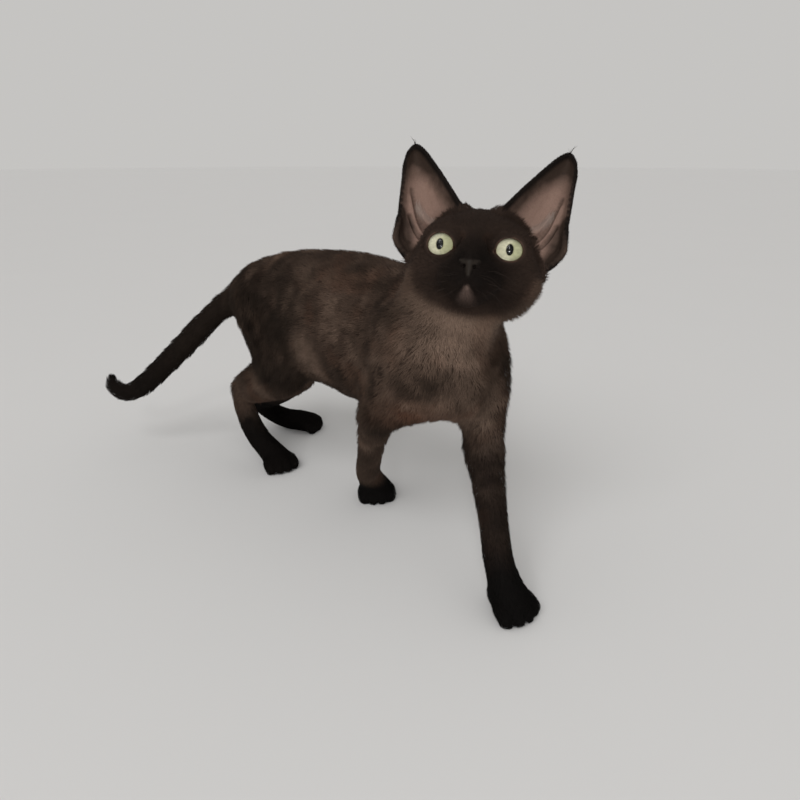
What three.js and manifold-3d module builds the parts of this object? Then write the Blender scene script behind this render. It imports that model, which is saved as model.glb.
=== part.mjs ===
// A devon rex kitten, life-size, standing in mid-stride with its head raised and turned to its right.
// Units are millimetres. +X is forwards, +Y the kitten's left, +Z up, and the floor is z = 0.
// The body is one smooth field, blended from lofts and ellipsoids, and parted by thin cuts into pieces.
import * as THREE from "three";
import { SimplifyModifier } from "three/addons/modifiers/SimplifyModifier.js";
import { mergeVertices } from "three/addons/utils/BufferGeometryUtils.js";
import Module from "manifold-3d";

const wasm = await Module();
wasm.setup();

// Driving dimensions
const BONES = { humerus: 48, radius: 66, femur: 57, tibia: 70 };
const GAP = 0.3;

// Grid steps for meshing, and the share of the grid's vertices that is kept
const TRUNK = { step: 6, keep: 0.28 };
const LIMB = { step: 4, keep: 0.38 };
const HEAD = { step: 2.8, keep: 0.26 };

// Where the limbs and tail part from the body, along z and x
const LEG_TOP = 70;
const TAIL_CUTS = [-127, -160, -182];

// Head pose: the eyes' midpoint and the way the face looks
const HEAD_AT = [113.7, -18, 184.6];
const HEAD_TURN_DEG = -54.7;
const HEAD_LIFT_DEG = 20.6;
const HEAD_ROLL_DEG = 3.3;
const EYE_APART = 32;
const EYE_R = 8.3;
const EYE_IN = -6.4;

// Small vector helpers on plain arrays
const add = (a, b, s = 1) => [a[0] + b[0] * s, a[1] + b[1] * s, a[2] + b[2] * s];
const sub = (a, b) => add(a, b, -1);
const dot = (a, b) => a[0] * b[0] + a[1] * b[1] + a[2] * b[2];
const cross = (a, b) => [a[1] * b[2] - a[2] * b[1], a[2] * b[0] - a[0] * b[2], a[0] * b[1] - a[1] * b[0]];
const norm = (a) => Math.hypot(...a);
const unit = (a) => add([0, 0, 0], a, 1 / norm(a));
const mix = (a, b, t) => a + (b - a) * t;
const rad = (deg) => (deg * Math.PI) / 180;

// Polynomial smooth minimum: joins two fields with a fillet about k wide
function blendMin(a, b, k) {
  const h = Math.max(k - Math.abs(a - b), 0) / k;
  return Math.min(a, b) - (h * h * k) / 4;
}

// One sampled value of a uniform Catmull-Rom curve through rows of numbers
function catmull(rows, i, t) {
  const row = (j) => rows[Math.min(Math.max(j, 0), rows.length - 1)];
  const [p, q, r, s] = [row(i - 1), row(i), row(i + 1), row(i + 2)];
  return q.map((_, n) => {
    const a = 2 * q[n];
    const b = r[n] - p[n];
    const c = 2 * p[n] - 5 * q[n] + 4 * r[n] - s[n];
    const d = 3 * q[n] - p[n] - 3 * r[n] + s[n];
    return 0.5 * (a + b * t + c * t * t + d * t * t * t);
  });
}

// Distance to an ellipsoid-like cell, from offsets and half-sizes along three axes
function cellDistance(s, u, e, w, h, m) {
  const k0 = Math.hypot(s / w, u / h, e / m);
  if (k0 < 1e-6) return -Math.min(w, h, m);
  return (k0 * (k0 - 1)) / Math.hypot(s / (w * w), u / (h * h), e / (m * m));
}

// A loft: an elliptical section carried along a curve. A station is [x, y, z, half-width, half-depth],
// where the width lies along the given side vector and the depth square to it.
function loft(stations, side = [0, 1, 0], steps = 3) {
  const rows = [];
  for (let i = 0; i < stations.length - 1; i++)
    for (let j = 0; j < steps; j++) rows.push(catmull(stations, i, j / steps));
  rows.push(stations[stations.length - 1]);
  const cells = rows.slice(1).map((b, i) => {
    const a = rows[i];
    const t = unit(sub(b, a));
    const s = unit(add(side, t, -dot(side, t)));
    return { a, b, t, s, u: cross(t, s), length: norm(sub(b.slice(0, 3), a.slice(0, 3))) };
  });
  return (p) => {
    let best = Infinity;
    for (const c of cells) {
      const r = [p[0] - c.a[0], p[1] - c.a[1], p[2] - c.a[2]];
      const along = dot(r, c.t);
      const t = Math.min(Math.max(along / c.length, 0), 1);
      const w = mix(c.a[3], c.b[3], t);
      const h = mix(c.a[4], c.b[4], t);
      const d = cellDistance(dot(r, c.s), dot(r, c.u), along - t * c.length, w, h, Math.min(w, h));
      if (d < best) best = d;
    }
    return best;
  };
}

const ellipsoid = (c, r) => (p) => cellDistance(p[0] - c[0], p[1] - c[1], p[2] - c[2], r[0], r[1], r[2]);

// The joint between two bones of set lengths, bent towards the hint
function bend(from, to, upper, lower, hint) {
  const reach = sub(to, from);
  const d = Math.min(norm(reach), upper + lower - 0.5);
  const axis = unit(reach);
  const along = (upper * upper - lower * lower + d * d) / (2 * d);
  const off = Math.sqrt(Math.max(upper * upper - along * along, 0));
  const out = unit(add(hint, axis, -dot(hint, axis)));
  return add(add(from, axis, along), out, off);
}

// Head frame: origin between the eyes, x out of the face, y to the kitten's left, z to the crown
const headMatrix = new THREE.Matrix4()
  .makeTranslation(...HEAD_AT)
  .multiply(new THREE.Matrix4().makeRotationZ(rad(HEAD_TURN_DEG)))
  .multiply(new THREE.Matrix4().makeRotationY(rad(-HEAD_LIFT_DEG)))
  .multiply(new THREE.Matrix4().makeRotationX(rad(-HEAD_ROLL_DEG)));
const headInverse = headMatrix.clone().invert();
const apply = (m, p) => new THREE.Vector3(...p).applyMatrix4(m).toArray();
const fromHead = (p) => apply(headMatrix, p);

const m = headInverse.elements;
const toHead = (p) => [
  m[0] * p[0] + m[4] * p[1] + m[8] * p[2] + m[12],
  m[1] * p[0] + m[5] * p[1] + m[9] * p[2] + m[13],
  m[2] * p[0] + m[6] * p[1] + m[10] * p[2] + m[14],
];

// Trunk: rump, pelvis, loin, belly, ribs, shoulders, breast
const trunk = loft([
  [-117, -11, 127, 9, 12],
  [-107, -9, 124, 19, 23],
  [-88, -5, 123.5, 27, 33.5],
  [-58, -1, 122, 33, 42],
  [-20, 1, 120, 37, 48],
  [20, 0, 119.5, 37, 49],
  [55, -4, 119, 34, 45],
  [82, -10, 115, 30, 35],
  [102, -14, 111, 18, 23],
]);

const neck = loft([
  [74, -9, 124, 27, 30],
  [88, -8, 142, 25, 27],
  [96, -4, 158, 24, 24],
  [99, -1, 171, 22, 22],
]);

// Front legs stand one ahead of the other; the wrist and paw are places on the floor plan
const frontLegs = {
  left: {
    shoulder: [96, 18, 110], elbowHint: [-1, 0.6, 0], wrist: [150, -30, 24],
    paw: [160, -31, 0], heading: -12,
  },
  right: {
    shoulder: [88, -33, 118], elbowHint: [-1, -1.2, 0], wrist: [27, -14.5, 26],
    paw: [22, -3, 0], heading: -35,
  },
};
const hindLegs = {
  left: {
    hip: [-88, 15, 120], hock: [-137, 5, 23], arch: [-121, 17, 10],
    paw: [-106, 31, 0], heading: 38,
  },
  right: {
    hip: [-84, -23, 120], hock: [-109, -28, 50], arch: [-89, -31, 23],
    paw: [-62, -28, 0], heading: -12,
  },
};

const turned = (deg, length) => [Math.cos(rad(deg)) * length, Math.sin(rad(deg)) * length, 0];

// A paw: a low rounded block with four toes in front
function pawField(at, heading) {
  const f = (x, y, z) => add(add(add(at, turned(heading, x)), turned(heading + 90, y)), [0, 0, z]);
  const toes = [-1.5, -0.5, 0.5, 1.5].map((n) => {
    const out = n * 5.6;
    const forth = 9.5 - Math.abs(n) * 2.2;
    return loft([[...f(0, out * 0.7, 7), 4.8, 5.8], [...f(forth, out, 4.4), 4.8, 5.2]], [0, 0, 1], 1);
  });
  const palm = loft([[...f(-9, 0, 7), 9, 8.5], [...f(2, 0, 6), 11.5, 8.5]], turned(heading + 90, 1), 1);
  return (p) => {
    let d = palm(p);
    for (const toe of toes) d = blendMin(d, toe(p), 2.5);
    return d;
  };
}

function frontLeg({ shoulder, elbowHint, wrist, paw, heading }) {
  const elbow = bend(shoulder, wrist, BONES.humerus, BONES.radius, elbowHint);
  const along = (t) => elbow.map((v, i) => mix(v, wrist[i], t));
  const upper = loft([
    [...add(shoulder, [-10, 0, 24]), 11, 18],
    [...shoulder, 14, 19],
    [...elbow, 11, 13.5],
  ]);
  const lower = loft([
    [...elbow, 11, 12.5],
    [...along(0.3), 10, 11],
    [...along(0.65), 8.5, 9.3],
    [...wrist, 8.8, 9],
    [...add(paw, [0, 0, 9]), 10, 9.5],
  ]);
  return { elbow, upper, lower, foot: pawField(paw, heading) };
}

function hindLeg({ hip, hock, arch, paw, heading }) {
  const knee = bend(hip, hock, BONES.femur, BONES.tibia, [1, 0, 0.2]);
  const calf = knee.map((v, i) => mix(v, hock[i], 0.5));
  const upper = loft([
    [...add(hip, [-2, 0, 8]), 14, 21],
    [...hip.map((v, i) => mix(v, knee[i], 0.5)), 15, 24],
    [...knee, 12, 16],
  ]);
  const lower = loft([
    [...knee, 11.5, 15.5],
    [...add(calf, [-7, 0, 0]), 10.5, 17],
    [...hock, 8.6, 9],
    [...arch, 9.2, 9.2],
    [...add(add(paw, turned(heading, -5)), [0, 0, 8]), 10.5, 8.5],
  ]);
  return { knee, upper, lower, foot: pawField(paw, heading) };
}

const legs = {
  foreleg_left: frontLeg(frontLegs.left),
  foreleg_right: frontLeg(frontLegs.right),
  hindleg_left: hindLeg(hindLegs.left),
  hindleg_right: hindLeg(hindLegs.right),
};

const tail = loft(
  [
    [-98, -8, 129, 14, 14],
    [-115, -12, 125.5, 11.6, 11.6],
    [-127, -27.5, 114.5, 9.8, 9.8],
    [-148, -54.5, 83, 9.4, 9.4],
    [-168, -79, 54.3, 8.8, 8.8],
    [-181, -91.5, 45.5, 7.6, 7.6],
    [-190.5, -97, 50, 6.4, 6.4],
    [-192.5, -96.5, 58, 5.3, 5.3],
  ],
  [1, -1, 0],
  4,
);

// Head, in its own frame: each part with the width of its blend
const both = (c, r, k) => [[ellipsoid(c, r), k], [ellipsoid([c[0], -c[1], c[2]], r), k]];
const headParts = [
  [ellipsoid([-25, 0, -1], [30, 29, 25.5]), 1],
  ...both([-8, 14, 4], [12, 13, 10], 7),
  ...both([-14, 20, -11], [16, 14, 13], 8),
  ...both([-20, 13, -20], [17, 14, 12], 8),
  [ellipsoid([-5, 0, -11], [17, 19, 17]), 6],
  [loft([[0, 0, 1, 8, 8], [12, 0, -8, 6.3, 6]]), 5],
  ...both([8.5, 6.5, -17.5], [9, 9, 7.2], 4),
  [ellipsoid([5.5, 0, -25], [8, 8, 5.8]), 4],
  [ellipsoid([14, 0, -11.6], [4, 5, 4]), 2],
];
const sockets = both([6, 18, 0.2], [10, 10.5, 9.5], 3);
function head(p) {
  const q = toHead(p);
  if (norm(q) > 130) return norm(q) - 70;
  let d = headParts.reduce((near, [part, k]) => blendMin(near, part(q), k), 1e3);
  for (const [socket, k] of sockets) d = -blendMin(-d, socket(q), k);
  return d;
}

// An ear: a cupped sheet between its inner and outer edges, which meet at the tip, in the head frame
const EAR = { cup: 15, thick: 2.4, across: 8, along: 8 };
const earTip = [-26, 40.5, 57];
const earInner = [
  [-13, 9.5, 22], [-16.5, 16.3, 31.5], [-20.5, 24.2, 41.7], [-24, 32, 51], [-25.5, 36.5, 55.3], earTip,
];
const earOuter = [
  [-17, 33, -9], [-18.5, 42.3, 3], [-20, 43.6, 18], [-22.5, 44.2, 36], [-24.8, 44.8, 49], earTip,
];
function earPoint(u, v) {
  const n = earInner.length - 1;
  const i = Math.min(Math.floor(u * n), n - 1);
  const a = catmull(earInner, i, u * n - i);
  const b = catmull(earOuter, i, u * n - i);
  const depth = EAR.cup * (1 - u) ** 0.7 * (1 - v * v);
  return add(a.map((x, q) => mix(x, b[q], (v + 1) / 2)), [-1, 0, 0.15], depth);
}
function earSolid(sideSign) {
  const points = [];
  const faces = [];
  const { along, across, thick } = EAR;
  const at = (i, j, back) => (i * (across + 1) + j) * 2 + back;
  for (let i = 0; i <= along; i++)
    for (let j = 0; j <= across; j++) {
      const u = (i / along) * 0.97;
      const v = (j / across) * 2 - 1;
      const e = 0.01;
      const du = sub(earPoint(Math.min(u + e, 1), v), earPoint(Math.max(u - e, 0), v));
      const dv = sub(earPoint(u, v + e), earPoint(u, v - e));
      const normal = unit(cross(du, dv));
      for (const s of [1, -1]) {
        const p = add(earPoint(u, v), normal, (s * thick) / 2);
        points.push(...fromHead([p[0], p[1] * sideSign, p[2]]));
      }
    }
  const quad = (a, b, c, d) => faces.push(...(sideSign > 0 ? [a, b, c, a, c, d] : [a, c, b, a, d, c]));
  for (let i = 0; i < along; i++) {
    for (let j = 0; j < across; j++) {
      quad(at(i, j, 0), at(i + 1, j, 0), at(i + 1, j + 1, 0), at(i, j + 1, 0));
      quad(at(i, j, 1), at(i, j + 1, 1), at(i + 1, j + 1, 1), at(i + 1, j, 1));
    }
    quad(at(i, 0, 0), at(i, 0, 1), at(i + 1, 0, 1), at(i + 1, 0, 0));
    quad(at(i, across, 0), at(i + 1, across, 0), at(i + 1, across, 1), at(i, across, 1));
  }
  for (let j = 0; j < across; j++) {
    quad(at(0, j, 0), at(0, j + 1, 0), at(0, j + 1, 1), at(0, j, 1));
    quad(at(along, j, 0), at(along, j, 1), at(along, j + 1, 1), at(along, j + 1, 0));
  }
  return solid(points, faces);
}

// The whole body as one field
function body(p) {
  let d = blendMin(trunk(p), neck(p), 16);
  d = blendMin(d, head(p), 9);
  d = blendMin(d, tail(p), 8);
  for (const leg of Object.values(legs)) {
    d = blendMin(d, leg.upper(p), 14);
    d = blendMin(d, blendMin(leg.lower(p), leg.foot(p), 4), 6);
  }
  return d;
}

// Grid faces whose signs alternate would pinch the surface: the corner nearest to it changes sides
function partDiagonals(value, [nx, ny, nz]) {
  const strides = [1, nx, nx * ny];
  let changed = true;
  while (changed) {
    changed = false;
    for (let k = 0; k < nz - 1; k++)
      for (let j = 0; j < ny - 1; j++)
        for (let i = 0; i < nx - 1; i++)
          for (const [a, b] of [[0, 1], [0, 2], [1, 2]]) {
            const start = i + j * strides[1] + k * strides[2];
            const face = [start, start + strides[a], start + strides[a] + strides[b], start + strides[b]];
            const inside = face.map((c) => value[c] < 0);
            if (inside[0] !== inside[2] || inside[1] !== inside[3] || inside[0] === inside[1]) continue;
            const nearest = face.reduce((x, c) => (Math.abs(value[c]) < Math.abs(value[x]) ? c : x));
            value[nearest] = value[nearest] < 0 ? 1e-3 : -1e-3;
            changed = true;
          }
  }
}

// Surface nets: one vertex for each grid cell that the surface crosses, then thinned out
async function mesh(field, [low, high], { step, keep }) {
  const n = low.map((v, i) => Math.ceil((high[i] - v) / step) + 1);
  const at = (i, j, k) => (k * n[1] + j) * n[0] + i;
  const value = new Float64Array(n[0] * n[1] * n[2]);
  for (let k = 0; k < n[2]; k++)
    for (let j = 0; j < n[1]; j++)
      for (let i = 0; i < n[0]; i++) {
        const edge = i === 0 || j === 0 || k === 0 || i === n[0] - 1 || j === n[1] - 1 || k === n[2] - 1;
        const p = [low[0] + i * step, low[1] + j * step, low[2] + k * step];
        value[at(i, j, k)] = edge ? Math.max(field(p), step * 0.5) : field(p);
      }
  partDiagonals(value, n);
  const cellVertex = new Int32Array(value.length).fill(-1);
  const points = [];
  const corners = [0, 1, 2, 3, 4, 5, 6, 7].map((c) => [c & 1, (c >> 1) & 1, (c >> 2) & 1]);
  for (let k = 0; k < n[2] - 1; k++)
    for (let j = 0; j < n[1] - 1; j++)
      for (let i = 0; i < n[0] - 1; i++) {
        const v = corners.map(([a, b, c]) => value[at(i + a, j + b, k + c)]);
        if (v.every((x) => x < 0) || v.every((x) => x >= 0)) continue;
        const sum = [0, 0, 0];
        let count = 0;
        for (let a = 0; a < 8; a++)
          for (const bit of [1, 2, 4]) {
            const b = a | bit;
            if (b === a || v[a] < 0 === v[b] < 0) continue;
            const t = v[a] / (v[a] - v[b]);
            corners[a].forEach((x, q) => (sum[q] += x + (corners[b][q] - x) * t));
            count++;
          }
        cellVertex[at(i, j, k)] = points.length / 3;
        points.push(...sum.map((s, q) => low[q] + ([i, j, k][q] + s / count) * step));
      }
  const faces = [];
  const quad = (a, b, c, d, flip) => faces.push(...(flip ? [a, c, b, a, d, c] : [a, b, c, a, c, d]));
  for (let k = 0; k < n[2] - 1; k++)
    for (let j = 0; j < n[1] - 1; j++)
      for (let i = 0; i < n[0] - 1; i++) {
        const inside = value[at(i, j, k)] < 0;
        const cell = (a, b, c) => cellVertex[at(i - a, j - b, k - c)];
        if (inside !== value[at(i + 1, j, k)] < 0)
          quad(cell(0, 1, 1), cell(0, 0, 1), cell(0, 0, 0), cell(0, 1, 0), !inside);
        if (inside !== value[at(i, j + 1, k)] < 0)
          quad(cell(1, 0, 1), cell(1, 0, 0), cell(0, 0, 0), cell(0, 0, 1), !inside);
        if (inside !== value[at(i, j, k + 1)] < 0)
          quad(cell(1, 1, 0), cell(0, 1, 0), cell(0, 0, 0), cell(1, 0, 0), !inside);
      }
  const fine = new THREE.BufferGeometry()
    .setAttribute("position", new THREE.BufferAttribute(new Float32Array(points), 3))
    .setIndex(new THREE.BufferAttribute(new Uint32Array(faces), 1));
  return solidOf(await new SimplifyModifier().modify(fine, (points.length / 3) * (1 - keep)));
}

const solidOf = (geometry) => solid([...geometry.attributes.position.array], [...geometry.index.array]);
function solid(points, faces) {
  const vertProperties = new Float32Array(points);
  const triVerts = new Uint32Array(faces);
  return new wasm.Manifold(new wasm.Mesh({ numProp: 3, vertProperties, triVerts }));
}

function geometryOf(made) {
  const raw = made.getMesh();
  return new THREE.BufferGeometry()
    .setAttribute("position", new THREE.BufferAttribute(new Float32Array(raw.vertProperties), 3))
    .setIndex(new THREE.BufferAttribute(new Uint32Array(raw.triVerts), 1));
}

// A cut is a unit normal and a distance along it; a piece keeps one side of it, clear by half the gap
const above = ([n, d]) => [n, d + GAP / 2];
const below = ([n, d]) => [n.map((v) => -v), -d + GAP / 2];
const headCut = [unit([0.46, 0.15, 0.87]), 170];
const neckCut = [unit([0.7, 0, 0.714]), 160];
const legCut = [[0, 0, 1], LEG_TOP];
const sole = [[0, 0, 1], -GAP / 2];
const tailCuts = TAIL_CUTS.map((x) => [[1, 0, 0], x]);
const trim = (made, cuts) => cuts.reduce((rest, [n, d]) => rest.trimByPlane(n, d), made);
const bodyPiece = async (box, detail, cuts) => trim(await mesh(body, box, detail), cuts);

function ball(radius, centre) {
  const sphere = new THREE.SphereGeometry(radius, 18, 10).deleteAttribute("normal").deleteAttribute("uv");
  return solidOf(mergeVertices(sphere)).translate(centre);
}

const eyeCentre = (side) => fromHead([EYE_IN, (side * EYE_APART) / 2, 0]);
const socket = (side) => ball(EYE_R + GAP, eyeCentre(side));
const headBox = [[52, -72, 128], [160, 50, 228]];
const fullHead = await bodyPiece(headBox, HEAD, [above(headCut)]);
const grownHead = await mesh((p) => body(p) - 2 * GAP, headBox, { ...HEAD, keep: 1 });

const coat = { color: 0x3b322f, roughness: 0.9 };
const points = { color: 0x1d1a1a, roughness: 0.9 };
const pinna = { color: 0x8f7670, roughness: 0.8 };
const iris = { color: 0xcdd5a0, roughness: 0.15 };

const boxes = {
  trunk: [[-136, -64, 56], [130, 60, 182]],
  neck: [[40, -64, 92], [136, 52, 186]],
  foreleg_left: [[86, -62, -12], [196, 40, 84]],
  foreleg_right: [[-4, -70, -12], [84, 40, 84]],
  hindleg_left: [[-162, -7, -12], [-20, 60, 84]],
  hindleg_right: [[-130, -64, -12], [-20, -8, 84]],
  tail_base: [[-176, -110, 20], [-112, -10, 140]],
  tail_mid: [[-200, -116, 20], [-146, -30, 110]],
  tail_tip: [[-210, -116, 24], [-168, -70, 80]],
};
const trunkCuts = [above(legCut), below(neckCut), below(headCut), above(tailCuts[0])];
const legCuts = [below(legCut), above(sole)];
const pieces = [
  ["head", points, [1, -1].reduce((rest, side) => rest.subtract(socket(side)), fullHead)],
  ["neck", coat, await bodyPiece(boxes.neck, LIMB, [above(neckCut), below(headCut)])],
  ["trunk", coat, await bodyPiece(boxes.trunk, TRUNK, trunkCuts)],
];
for (const leg of Object.keys(legs)) pieces.push([leg, points, await bodyPiece(boxes[leg], LIMB, legCuts)]);
for (const [i, part] of ["tail_base", "tail_mid", "tail_tip"].entries()) {
  const cuts = [below(tailCuts[i]), ...tailCuts.slice(i + 1, i + 2).map(above)];
  pieces.push([part, points, await bodyPiece(boxes[part], LIMB, cuts)]);
}
for (const [name, side] of [["left", 1], ["right", -1]]) {
  pieces.push(["ear_" + name, pinna, earSolid(side).subtract(grownHead)]);
  pieces.push(["eye_" + name, iris, ball(EYE_R, eyeCentre(side))]);
}

// The origin goes to the middle of the floor plan
const extent = new THREE.Box3();
for (const [, , made] of pieces) {
  const { min, max } = made.boundingBox();
  extent.expandByPoint(new THREE.Vector3(...min)).expandByPoint(new THREE.Vector3(...max));
}
const middle = extent.getCenter(new THREE.Vector3());

const kitten = new THREE.Group();
for (const [name, look, made] of pieces) {
  const piece = new THREE.Mesh(geometryOf(made), new THREE.MeshStandardMaterial(look));
  piece.name = name;
  piece.position.set(-middle.x, -middle.y, -extent.min.z);
  kitten.add(piece);
}
export default kitten;
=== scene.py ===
# A devon rex kitten in mid-stride: its skin, coat, eyes, light and camera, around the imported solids.
# Shapes are worked out in millimetres in the record's frame, and turned into metres when a mesh is made.
import math

import bmesh
import bpy
import numpy as np
import openvdb
from mathutils import Matrix, Vector


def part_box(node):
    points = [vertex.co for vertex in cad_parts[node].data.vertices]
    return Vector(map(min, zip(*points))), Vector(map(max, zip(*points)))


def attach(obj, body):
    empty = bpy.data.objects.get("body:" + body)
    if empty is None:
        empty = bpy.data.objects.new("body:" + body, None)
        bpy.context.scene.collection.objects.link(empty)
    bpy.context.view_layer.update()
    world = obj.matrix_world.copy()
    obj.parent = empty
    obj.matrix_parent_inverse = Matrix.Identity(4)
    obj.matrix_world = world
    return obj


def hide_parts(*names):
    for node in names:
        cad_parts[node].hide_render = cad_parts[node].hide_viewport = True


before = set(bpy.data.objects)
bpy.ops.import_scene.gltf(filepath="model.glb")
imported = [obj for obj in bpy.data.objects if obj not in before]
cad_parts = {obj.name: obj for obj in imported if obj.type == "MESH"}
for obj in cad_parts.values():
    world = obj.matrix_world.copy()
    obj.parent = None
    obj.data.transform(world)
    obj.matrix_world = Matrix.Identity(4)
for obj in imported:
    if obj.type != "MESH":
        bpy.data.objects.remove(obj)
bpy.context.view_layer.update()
rng = np.random.default_rng(7)

MM = 0.001
EYES = ("eye_left", "eye_right")
EARS = ("ear_left", "ear_right")
FLESH = [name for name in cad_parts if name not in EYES]

# Small helpers on arrays of points


def unit(v):
    return v / np.maximum(np.linalg.norm(v, axis=-1, keepdims=True), 1e-9)


def smooth(low, high, x):
    """0 below low, 1 above high, with a smooth step between; high may be the smaller."""
    t = np.clip((x - low) / (high - low), 0, 1)
    return t * t * (3 - 2 * t)


def mix(a, b, t):
    return a + (b - a) * t


def blend_min(a, b, k):
    """Joins two distance fields with a fillet about k wide."""
    h = np.maximum(k - np.abs(a - b), 0) / k
    return np.minimum(a, b) - h * h * k / 4


def blend_max(a, b, k):
    return -blend_min(-a, -b, k)


def turn(axis, degrees):
    return np.array(Matrix.Rotation(math.radians(degrees), 3, axis))


def lattice(axes):
    """The points of a grid with the given places along each axis."""
    return np.stack(np.meshgrid(*axes, indexing="ij"), -1)


def bearings(count):
    """Angles evenly spread round a circle."""
    return np.arange(count) * 2 * math.pi / count


def mirrored(q):
    """Points of the head frame, with those on its right side moved to their mirror image."""
    return np.stack([q[:, 0], np.abs(q[:, 1]), q[:, 2]], 1)


def pull(items, key, kind=np.float32):
    """Three numbers for each of a mesh's items."""
    values = np.zeros(len(items) * 3, kind)
    items.foreach_get(key, values)
    return values.reshape(-1, 3)


def hashed(i, j, k, seed):
    """A repeatable random number from -1 to 1 for each whole-numbered cell."""
    h = (i * 73856093) ^ (j * 19349663) ^ (k * 83492791) ^ (seed * 2971215073)
    h = (h ^ (h >> 13)) * 1274126177 & 0xFFFFFFFF
    h = (h ^ (h >> 16)) * 668265263 & 0xFFFFFFFF
    return (h ^ (h >> 15)) / 0x7FFFFFFF - 1


def noise(p, size, seed):
    """A smooth random field from about -1 to 1, with patches of the given size."""
    q = p / size
    cell = np.floor(q).astype(np.int64)
    f = q - cell
    f = f * f * (3 - 2 * f)
    total = 0
    for corner in range(8):
        a, b, c = corner & 1, corner >> 1 & 1, corner >> 2
        weight = np.where(a, f[:, 0], 1 - f[:, 0]) * np.where(b, f[:, 1], 1 - f[:, 1])
        weight = weight * np.where(c, f[:, 2], 1 - f[:, 2])
        total = total + weight * hashed(cell[:, 0] + a, cell[:, 1] + b, cell[:, 2] + c, seed)
    return total * 1.6


# Places. The head frame has its origin between the eyes, x out of the face, y left, z to the crown.
HEAD_TURN, HEAD_LIFT, HEAD_ROLL = -54.7, 20.6, 3.3
EYE_APART, EYE_RADIUS, EYE_IN = 32, 8.3, -6.4
HEAD_AT = np.array([113.7, -18, 184.6])
HEAD = turn("Z", HEAD_TURN) @ turn("Y", -HEAD_LIFT) @ turn("X", -HEAD_ROLL)
SIDES = {"left": 1, "right": -1}


def box_centre(node):
    low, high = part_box(node)
    return np.array((low + high) / 2) / MM


head_origin = (box_centre("eye_left") + box_centre("eye_right")) / 2 - HEAD @ [EYE_IN, 0, 0]
SHIFT = head_origin - HEAD_AT  # the solids' own numbers are this far from the record's frame
NECK_WAY = np.array([0.46, 0.15, 0.87])
HEAD_PLANE = (NECK_WAY / np.linalg.norm(NECK_WAY), 170)  # parts the head from the body


def place(*p):
    return np.array(p, float) + SHIFT


def from_head(q):
    return np.asarray(q, float) @ HEAD.T + head_origin


def to_head(p):
    return (np.asarray(p, float) - head_origin) @ HEAD


def head_share(p):
    """1 on the head, 0 on the body, with a soft change across the neck."""
    normal, level = HEAD_PLANE
    return smooth(-8, 6, (p - SHIFT) @ normal - level)


# A shape is a distance function with the centre and reach of what it holds


def ellipsoid(centre, radii):
    centre, radii = np.array(centre, float), np.array(radii, float)

    def distance(q):
        r = (q - centre) / radii
        k = np.linalg.norm(r, axis=-1)
        return k * (k - 1) / np.maximum(np.linalg.norm(r / radii, axis=-1), 1e-6)

    return distance, centre, radii.max()


def rope(points, radii):
    """A chain of capsules through the points, with a radius at each."""
    points, radii = np.array(points, float), np.array(radii, float)
    centre = (points.min(0) + points.max(0)) / 2

    def distance(q):
        best = 1e3
        for a, b, ra, rb in zip(points[:-1], points[1:], radii[:-1], radii[1:]):
            d = b - a
            t = np.clip((q - a) @ d / (d @ d), 0, 1)
            best = np.minimum(best, np.linalg.norm(q - a - t[..., None] * d, axis=-1) - mix(ra, rb, t))
        return best

    return distance, centre, np.linalg.norm(points - centre, axis=1).max() + radii.max()


def in_head(shape):
    distance, centre, reach = shape
    return lambda p: distance(to_head(p)), from_head(centre), reach


# Distance fields on a regular grid


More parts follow.
